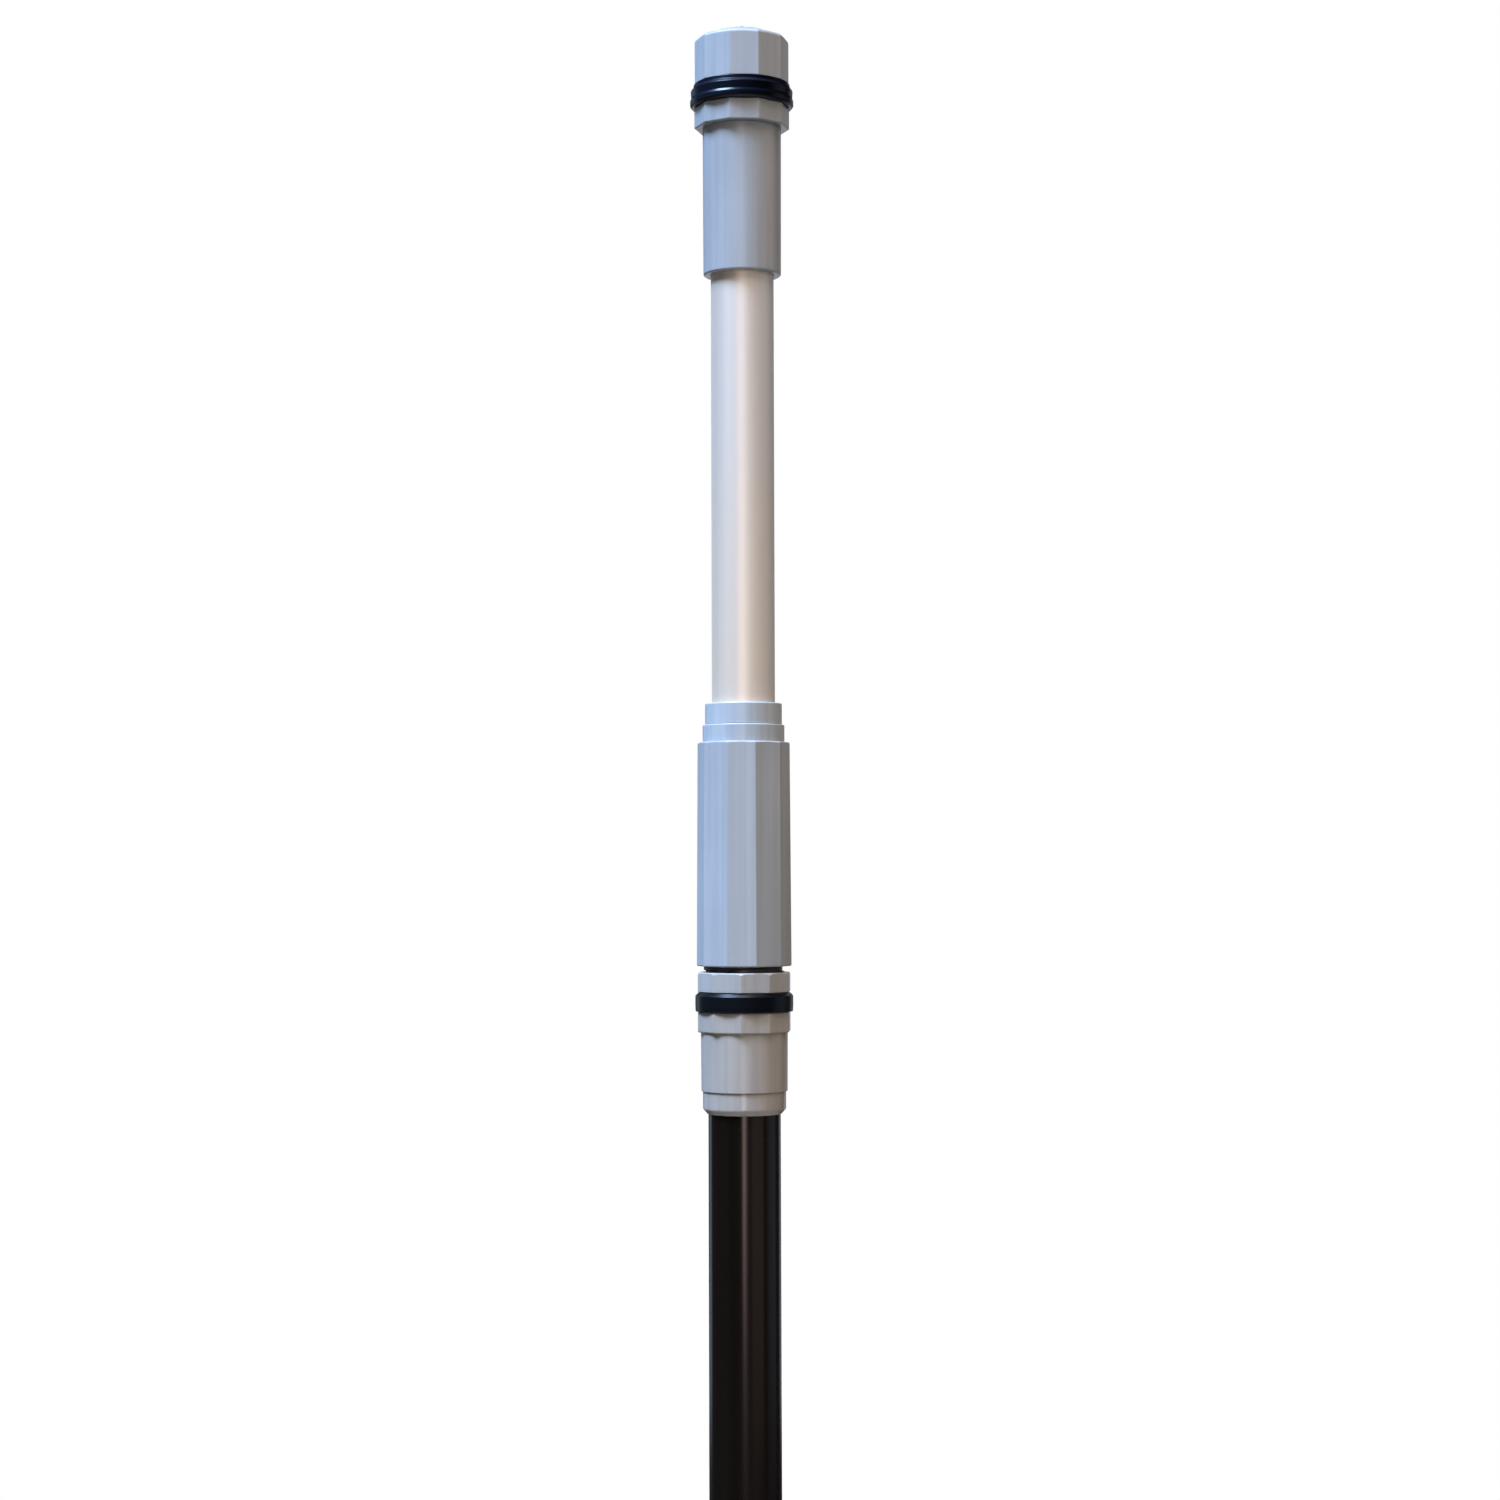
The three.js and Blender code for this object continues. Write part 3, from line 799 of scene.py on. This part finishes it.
def noise(tree, scale, detail=2.0, roughness=0.5):
    """Noise in the object's own metres. scale is its cells per metre along X, Y and Z."""
    place = add_node(tree, "ShaderNodeTexCoord")
    stretched = add_node(tree, "ShaderNodeMapping", {"Vector": place.outputs["Object"], "Scale": scale})
    made = add_node(
        tree,
        "ShaderNodeTexNoise",
        {"Vector": stretched.outputs[0], "Scale": 1.0, "Detail": detail, "Roughness": roughness},
    )
    return made.outputs["Fac"]


def remap(tree, value, from_low, from_high, to_low, to_high):
    """A value moved from one range to another, and kept inside the second."""
    inputs = {0: value, 1: from_low, 2: from_high, 3: to_low, 4: to_high}
    return add_node(tree, "ShaderNodeMapRange", inputs, clamp=True).outputs[0]


def product(tree, first, second):
    return add_node(tree, "ShaderNodeMath", {0: first, 1: second}, operation="MULTIPLY").outputs[0]


def total(tree, first, second):
    return add_node(tree, "ShaderNodeMath", {0: first, 1: second}, operation="ADD").outputs[0]


def mix(tree, share, first, second):
    """Colour between two colours. The mix node's colour sockets are its seventh and eighth inputs."""
    made = add_node(tree, "ShaderNodeMix", {0: share, 6: first, 7: second}, data_type="RGBA")
    return made.outputs[2]


def shade(tree, colour, amount):
    """A colour made lighter or darker by a factor."""
    if isinstance(colour, tuple):
        colour = colour[:3]  # a vector has no alpha
    return add_node(tree, "ShaderNodeVectorMath", {0: colour, "Scale": amount}, operation="SCALE").outputs[0]


def bump(tree, height, distance, strength, normal=None):
    inputs = {"Height": height, "Distance": distance, "Strength": strength}
    if normal is not None:
        inputs["Normal"] = normal
    return add_node(tree, "ShaderNodeBump", inputs).outputs[0]


def edge_attribute(tree):
    return add_node(tree, "ShaderNodeAttribute", attribute_name="edge").outputs["Fac"]


def new_material(name):
    """A material with an empty node tree, that tree, and its output node."""
    material = bpy.data.materials.new(name)
    material.use_nodes = True
    tree = material.node_tree
    tree.nodes.clear()
    output = tree.nodes.new("ShaderNodeOutputMaterial")
    return material, tree, output


def finish_surface(tree, output, inputs):
    surface = add_node(tree, "ShaderNodeBsdfPrincipled", inputs)
    tree.links.new(surface.outputs[0], output.inputs["Surface"])


# ---- Materials ----

def paler(colour):
    """The shade of a plastic where its edges are rubbed."""
    return tuple(0.35 + 0.65 * part for part in colour[:3]) + (1,)


def darker(colour):
    """The colour put into a plastic's inner corners: painted shade, with some dirt."""
    return tuple(0.3 * part for part in colour[:3]) + (1,)


def moulded_plastic(name, base, roughness=0.3, waviness=0.3):
    """Satin moulded plastic: faint flow marks, orange peel, hairline scuffs, pale edges, and painted shade
    with some dirt in its inner corners.
    """
    material, tree, output = new_material(name)
    clouds = noise(tree, (22, 22, 14), detail=3)
    flow = noise(tree, (380, 380, 7), detail=2)
    speckle = noise(tree, (1500, 1500, 1500), detail=1)
    tone = remap(tree, clouds, 0.3, 0.7, 0.94, 1.06)
    tone = product(tree, tone, remap(tree, flow, 0.38, 0.62, 0.95, 1.05))
    tone = product(tree, tone, remap(tree, speckle, 0.2, 0.8, 0.97, 1.03))
    colour = shade(tree, base, tone)

    edge = edge_attribute(tree)
    patchy = noise(tree, (90, 90, 90), detail=4)
    worn = product(tree, remap(tree, edge, 0.2, 1, 0, 1), remap(tree, patchy, 0.4, 0.65, 0.1, 0.45))
    colour = mix(tree, worn, colour, paler(base))
    # painted shade: inner corners darkened in patches where shade gathers, with some dirt
    corner_shade_and_dirt = product(tree, remap(tree, edge, -0.1, -1, 0, 1), remap(tree, patchy, 0.3, 0.6, 0.3, 0.7))
    colour = mix(tree, corner_shade_and_dirt, colour, darker(base))

    scuffs = remap(tree, noise(tree, (2200, 2200, 40), detail=1), 0.66, 0.74, 0, 1)
    sheen = remap(tree, clouds, 0.3, 0.7, roughness - 0.02, roughness + 0.05)
    rough = total(tree, sheen, product(tree, scuffs, 0.12))

    sink = noise(tree, (60, 60, 18), detail=1)
    peel = noise(tree, (1100, 1100, 1100), detail=2)
    normal = bump(tree, sink, 0.0012, waviness)
    normal = bump(tree, peel, 0.00006, 0.35, normal)
    normal = bump(tree, scuffs, 0.00003, -0.3, normal)
    look = {"Base Color": colour, "Roughness": rough, "Normal": normal, "Specular IOR Level": 0.5}
    finish_surface(tree, output, look)
    return material


def moulded_rubber(name, base, tint):
    """Smooth black rubber with a soft shine, faint mould rings and a little dust."""
    material, tree, output = new_material(name)
    clouds = noise(tree, (40, 40, 40), detail=3)
    colour = mix(tree, clouds, base, tint)
    dust = remap(tree, noise(tree, (2600, 2600, 2600), detail=2), 0.66, 0.78, 0, 1)
    patches = remap(tree, noise(tree, (70, 70, 70), detail=3), 0.45, 0.7, 0, 0.25)
    colour = mix(tree, product(tree, dust, patches), colour, DUST_GREY)
    colour = mix(tree, remap(tree, edge_attribute(tree), 0.3, 1, 0, 0.12), colour, RUBBED_RUBBER)

    rings = noise(tree, (30, 30, 2600), detail=1)
    grain = noise(tree, (2400, 2400, 2400), detail=2)
    rough = remap(tree, clouds, 0.3, 0.7, 0.28, 0.32)
    normal = bump(tree, rings, 0.00004, 0.3)
    normal = bump(tree, grain, 0.00005, 0.25, normal)
    look = {"Base Color": colour, "Roughness": rough, "Normal": normal, "Specular IOR Level": 0.35}
    finish_surface(tree, output, look)
    return material


def drawn_tube(name, base, tint, tint_from, tint_to, line_contrast, roughness, finish):
    """Anodised drawn tube: fine lines along its length, slow tone changes and a few handling marks.

    Its colour turns from base to tint between two heights, in metres. On the bright tube that is painted
    light: its top takes the cooler colour of the light that falls there. finish is the rest of its look."""
    material, tree, output = new_material(name)
    lines = noise(tree, (900, 900, 2.5), detail=3, roughness=0.6)
    bands = noise(tree, (120, 120, 1.2), detail=2)
    clouds = noise(tree, (14, 14, 7), detail=4)
    darkest, lightest = 1 - line_contrast, 1 + line_contrast
    tone = product(
        tree,
        remap(tree, lines, 0.3, 0.7, darkest, lightest),
        remap(tree, bands, 0.3, 0.7, darkest, lightest),
    )
    place = add_node(tree, "ShaderNodeTexCoord").outputs["Object"]
    height = add_node(tree, "ShaderNodeSeparateXYZ", {0: place}).outputs["Z"]
    # on the bright tube this drift with height is painted light, the cooler light on its upper part; the
    # clouds add random tone
    drift = remap(tree, height, tint_from, tint_to, -0.2, 1.2)
    drift = total(tree, drift, remap(tree, clouds, 0.35, 0.65, -0.25, 0.25))
    colour = shade(tree, mix(tree, drift, base, tint), tone)

    marks = remap(tree, noise(tree, (500, 500, 260), detail=3), 0.7, 0.78, 0, 1)
    sheen = remap(tree, bands, 0.3, 0.7, roughness - 0.03, roughness + 0.05)
    rough = total(tree, sheen, product(tree, marks, 0.15))
    normal = bump(tree, lines, 0.00003, 0.35)
    normal = bump(tree, marks, 0.00003, -0.3, normal)
    finish_surface(tree, output, {"Base Color": colour, "Roughness": rough, "Normal": normal, **finish})
    return material


# partly the plastics' own grey, partly painted light: the head's grey is cooler for the bluer light on the
# head and barrel, the socket's warmer for the warmer light on the socket
HEAD_GREY_IN_COOL_LIGHT = (0.36, 0.387, 0.422, 1)
SOCKET_GREY_IN_WARM_LIGHT = (0.378, 0.348, 0.32, 1)
# painted light: a lighter, less warm copy of the socket's grey, for the light that falls on the nut
LIT_NUT_GREY = (0.385, 0.38, 0.372, 1)
# painted light: a lighter copy of the head's grey, for the light that falls on the collar
LIT_COLLAR_GREY = (0.43, 0.475, 0.525, 1)
# painted light: a lighter copy of the head's grey, for the light on the barrel's neck
LIT_NECK_GREY = (0.41, 0.455, 0.505, 1)
# painted light: a lighter, bluer copy of the head's grey, for the light that falls on the cap
LIT_CAP_GREY = (0.385, 0.425, 0.475, 1)
DARK_PLASTIC = (0.02, 0.02, 0.022, 1)
NYLON = (0.66, 0.63, 0.54, 1)
BLACK_RUBBER = (0.003, 0.0035, 0.005, 1)
BLACK_RUBBER_TINT = (0.006, 0.007, 0.010, 1)
# painted light: a bluer copy of the black rubber, for the bluer light that falls on the head ring
BLUE_LIT_RUBBER = (0.005, 0.007, 0.014, 1)
BLUE_LIT_RUBBER_TINT = (0.008, 0.012, 0.024, 1)
RUBBED_RUBBER = (0.09, 0.09, 0.1, 1)
DUST_GREY = (0.25, 0.25, 0.26, 1)
BLACK_TUBE = (0.0036, 0.0026, 0.002, 1)
BLACK_TUBE_TINT = (0.006, 0.004, 0.003, 1)
BRIGHT_TUBE = (0.93, 0.78, 0.64, 1)
BRIGHT_TUBE_COOL_LIT_TOP = (0.89, 0.78, 0.69, 1)
WHITE = (1, 1, 1, 1)
PINKISH = (1, 0.82, 0.84, 1)
BLACK_FINISH = {"Metallic": 0.0, "Specular IOR Level": 0.52, "Specular Tint": PINKISH}
BRIGHT_FINISH = {"Metallic": 0.5, "Specular IOR Level": 0.5, "Specular Tint": WHITE}


def make_materials():
    MATERIALS["plastic_cool_grey"] = moulded_plastic("cool_lit_grey_plastic", HEAD_GREY_IN_COOL_LIGHT)
    MATERIALS["plastic_grey"] = moulded_plastic("grey_plastic", SOCKET_GREY_IN_WARM_LIGHT)
    MATERIALS["plastic_dark"] = moulded_plastic("dark_plastic", DARK_PLASTIC, roughness=0.35)
    MATERIALS["nylon_natural"] = moulded_plastic("natural_nylon", NYLON, roughness=0.5)
    MATERIALS["wiper_collar"] = moulded_plastic("lit_collar_plastic", LIT_COLLAR_GREY)
    MATERIALS["barrel_neck"] = moulded_plastic("lit_neck_plastic", LIT_NECK_GREY)
    MATERIALS["back_nut"] = moulded_plastic("lit_nut_plastic", LIT_NUT_GREY)
    MATERIALS["cap"] = moulded_plastic("lit_cap_plastic", LIT_CAP_GREY, waviness=0.8)
    MATERIALS["socket_end_ring"] = moulded_plastic("glossy_grey_plastic", SOCKET_GREY_IN_WARM_LIGHT, roughness=0.14)
    MATERIALS["rubber_black"] = moulded_rubber("black_rubber", BLACK_RUBBER, BLACK_RUBBER_TINT)
    MATERIALS["head_ring"] = moulded_rubber("blue_lit_rubber", BLUE_LIT_RUBBER, BLUE_LIT_RUBBER_TINT)
    MATERIALS["tube_black"] = drawn_tube(
        "black_anodised",
        BLACK_TUBE,
        BLACK_TUBE_TINT,
        tint_from=0.0,
        tint_to=0.5,
        line_contrast=0.12,
        roughness=0.19,
        finish=BLACK_FINISH,
    )
    MATERIALS["tube_bright"] = drawn_tube(
        "bright_anodised",
        BRIGHT_TUBE,
        BRIGHT_TUBE_COOL_LIT_TOP,
        tint_from=0.66,
        tint_to=0.8,
        line_contrast=0.02,
        roughness=0.48,
        finish=BRIGHT_FINISH,
    )


# ---- Floor and room ----

FLOOR_HALF_SIZE = 12
FLOOR_DROP = 0.0005  # below the foot, so that the two don't share a plane
FADE_FROM = 0.15  # distance from the pole where the floor starts to fade into the background
FADE_TO = 0.8
FLOOR_COLOUR = (0.44, 0.385, 0.31, 1)
FLOOR_BOUNCE = 0.03  # light that the faded floor throws on the pole
FLOOR_TINT = (1.0, 0.92, 0.84, 1)
ROOM_LEFT = (0.75, 0.86, 1.0, 1)
ROOM_RIGHT = (1.0, 0.95, 0.88, 1)
ROOM_STRENGTH = 0.02


def make_floor():
    """A pale floor that fades into the white background away from the pole."""
    mesh = bpy.data.meshes.new("floor")
    size = FLOOR_HALF_SIZE
    corners = [(-size, -size), (size, -size), (size, size), (-size, size)]
    mesh.from_pydata([(x, y, -FLOOR_DROP) for x, y in corners], [], [(0, 1, 2, 3)])
    floor = bpy.data.objects.new("floor", mesh)
    bpy.context.scene.collection.objects.link(floor)
    material, tree, output = new_material("pale_floor")
    mesh.materials.append(material)
    place = add_node(tree, "ShaderNodeTexCoord").outputs["Object"]
    away = add_node(tree, "ShaderNodeVectorMath", {0: place}, operation="LENGTH").outputs["Value"]
    far = remap(tree, away, FADE_FROM, FADE_TO, 0, 1)
    matt = add_node(tree, "ShaderNodeBsdfDiffuse", {"Color": FLOOR_COLOUR})
    seen = add_node(tree, "ShaderNodeLightPath").outputs["Is Camera Ray"]
    tint = mix(tree, seen, FLOOR_TINT, WHITE)
    strength = remap(tree, seen, 0, 1, FLOOR_BOUNCE, 1.0)
    glow = add_node(tree, "ShaderNodeEmission", {"Color": tint, "Strength": strength})
    both = add_node(tree, "ShaderNodeMixShader", {0: far, 1: matt.outputs[0], 2: glow.outputs[0]})
    tree.links.new(both.outputs[0], output.inputs["Surface"])


def make_world():
    """White to the camera. To everything else, a dim room: cool on the left, warm on the right."""
    world = bpy.data.worlds.new("studio")
    bpy.context.scene.world = world
    world.use_nodes = True
    tree = world.node_tree
    tree.nodes.clear()
    output = tree.nodes.new("ShaderNodeOutputWorld")
    seen = add_node(tree, "ShaderNodeLightPath").outputs["Is Camera Ray"]
    white = add_node(tree, "ShaderNodeBackground", {"Color": WHITE, "Strength": 1.0})
    direction = add_node(tree, "ShaderNodeTexCoord").outputs["Generated"]
    sideways = add_node(tree, "ShaderNodeSeparateXYZ", {0: direction}).outputs["X"]
    room_colour = mix(tree, remap(tree, sideways, -1, 1, 0, 1), ROOM_LEFT, ROOM_RIGHT)
    room = add_node(tree, "ShaderNodeBackground", {"Color": room_colour, "Strength": ROOM_STRENGTH})
    both = add_node(tree, "ShaderNodeMixShader", {0: seen, 1: room.outputs[0], 2: white.outputs[0]})
    tree.links.new(both.outputs[0], output.inputs["Surface"])


# ---- Lights ----

LIGHT_CENTRE = (cad_box[0] + cad_box[1]) / 2 + Vector((0, 0, 0.1))  # a little above the pole's middle
LIGHT_DISTANCE = 1.8
PANEL_LOW = -0.372
PANEL_HIGH = 1.528
FRONT_PANEL_LOW = 0.15  # its mirror image on the black tube ends above that tube's middle
RUBBER_NODES = ("union_ring", "head_ring", "wiper_seal")
TUBE_NODES = ("inner_tube", "outer_tube")


def make_light(name, kind, azimuth, elevation, power):
    """A light that the camera doesn't see, at an angle round the pole. power is its red, green and blue."""
    data = bpy.data.lights.new(name, kind)
    data.energy = max(power)
    data.color = [part / max(power) for part in power]
    light = bpy.data.objects.new(name, data)
    bpy.context.scene.collection.objects.link(light)
    around, up = radians(azimuth), radians(elevation)
    away = Vector((sin(around) * cos(up), -cos(around) * cos(up), sin(up)))
    light.location = LIGHT_CENTRE + away * LIGHT_DISTANCE
    light.rotation_mode = "QUATERNION"
    light.rotation_quaternion = away.to_track_quat("Z", "Y")
    light.visible_camera = False
    return light


def make_panel(name, azimuth, width, power, low=PANEL_LOW):
    """An upright soft panel from a height of low to well above the pole. power is in watts."""
    light = make_light(name, "AREA", azimuth, 0, power)
    light.location.z = (low + PANEL_HIGH) / 2
    light.data.shape = "RECTANGLE"
    light.data.size = width
    light.data.size_y = PANEL_HIGH - low
    return light


def make_high_light(name, azimuth, elevation, spread, power):
    """A distant light from high up, spread over an angle. power is in watts per square metre."""
    light = make_light(name, "SUN", azimuth, elevation, power)
    light.data.angle = radians(spread)
    return light


def flag(light, nodes, state):
    """Links a light to some nodes' pieces, as a flag in front of a lamp does in a studio."""
    flagged = bpy.data.collections.new("flagged_" + light.name)
    light.light_linking.receiver_collection = flagged
    for name in nodes:
        flagged.objects.link(bpy.data.objects[name + "_fine"])
    for member in flagged.collection_objects:
        member.light_linking.link_state = state


def keep_off(light, nodes):
    flag(light, nodes, "EXCLUDE")


def keep_only(light, nodes):
    flag(light, nodes, "INCLUDE")


def make_lights():
    """Panels all round, lamps on the upper right, an overhead light and a cool window on the upper left."""
    front = make_panel("front", azimuth=-1, width=0.34, power=(5.6, 5.0, 4.6), low=FRONT_PANEL_LOW)
    fill_right = make_panel("fill_right", azimuth=42, width=1.3, power=(2.5, 2.2, 2.0))
    make_panel("side_right", azimuth=95, width=1.2, power=(1.4, 1.7, 2.1))
    make_panel("rim_right", azimuth=150, width=0.5, power=(1.3, 1.4, 1.6))
    make_panel("rim_left", azimuth=-140, width=0.6, power=(1.5, 1.9, 2.4))
    make_panel("back", azimuth=180, width=0.9, power=(4.4, 4.6, 5.0))
    lamp = make_high_light("lamp", azimuth=80, elevation=55, spread=90, power=(1.0, 0.65, 0.3))
    tube_lamp = make_high_light("tube_lamp", azimuth=80, elevation=55, spread=90, power=(0.6, 0.63, 0.66))
    overhead = make_high_light("overhead", azimuth=-10, elevation=60, spread=40, power=(1.9, 1.9, 2.0))
    make_high_light("window", azimuth=-62, elevation=58, spread=22, power=(3.6, 5.2, 7.8))
    keep_off(front, RUBBER_NODES)
    keep_off(fill_right, RUBBER_NODES)
    keep_off(lamp, (*TUBE_NODES, *RUBBER_NODES))
    keep_off(overhead, ("head_ring",))
    keep_only(tube_lamp, ("inner_tube",))


# ---- Camera ----

CAMERA_DISTANCE = 1.3299
CAMERA_HEIGHT = 0.5795
CAMERA_ASIDE = 0.0027
CAMERA_TILT = 2.2  # degrees up
CAMERA_ROLL = 0.17
CAMERA_LENS = 72  # focal length in millimetres
CAMERA_SENSOR = 36  # width in millimetres
CAMERA_REACH = 100


def make_camera():
    """A long lens a little above the pole's middle, tilted up."""
    data = bpy.data.cameras.new("camera")
    data.sensor_width = CAMERA_SENSOR
    data.lens = CAMERA_LENS
    data.clip_end = CAMERA_REACH
    camera = bpy.data.objects.new("camera", data)
    bpy.context.scene.collection.objects.link(camera)
    camera.location = (CAMERA_ASIDE, -CAMERA_DISTANCE, CAMERA_HEIGHT)
    camera.rotation_euler = (radians(90 + CAMERA_TILT), radians(CAMERA_ROLL), 0)
    bpy.context.scene.camera = camera


make_materials()
make_foot_cap()
make_foot_plug()
make_tubes()
make_socket_end_ring()
make_socket_body()
make_lock_core()
make_union_ring()
make_back_nut()
make_lock_barrel()
make_wiper_collar()
make_wiper_seal()
make_lock_collet()
make_thrust_ring()
make_guide_bush()
make_head_sleeve()
make_head_adaptor()
make_o_ring()
make_head_ring()
make_cap()
make_cap_liner()
make_floor()
make_world()
make_lights()
make_camera()
bpy.context.scene.view_settings.view_transform = "Standard"
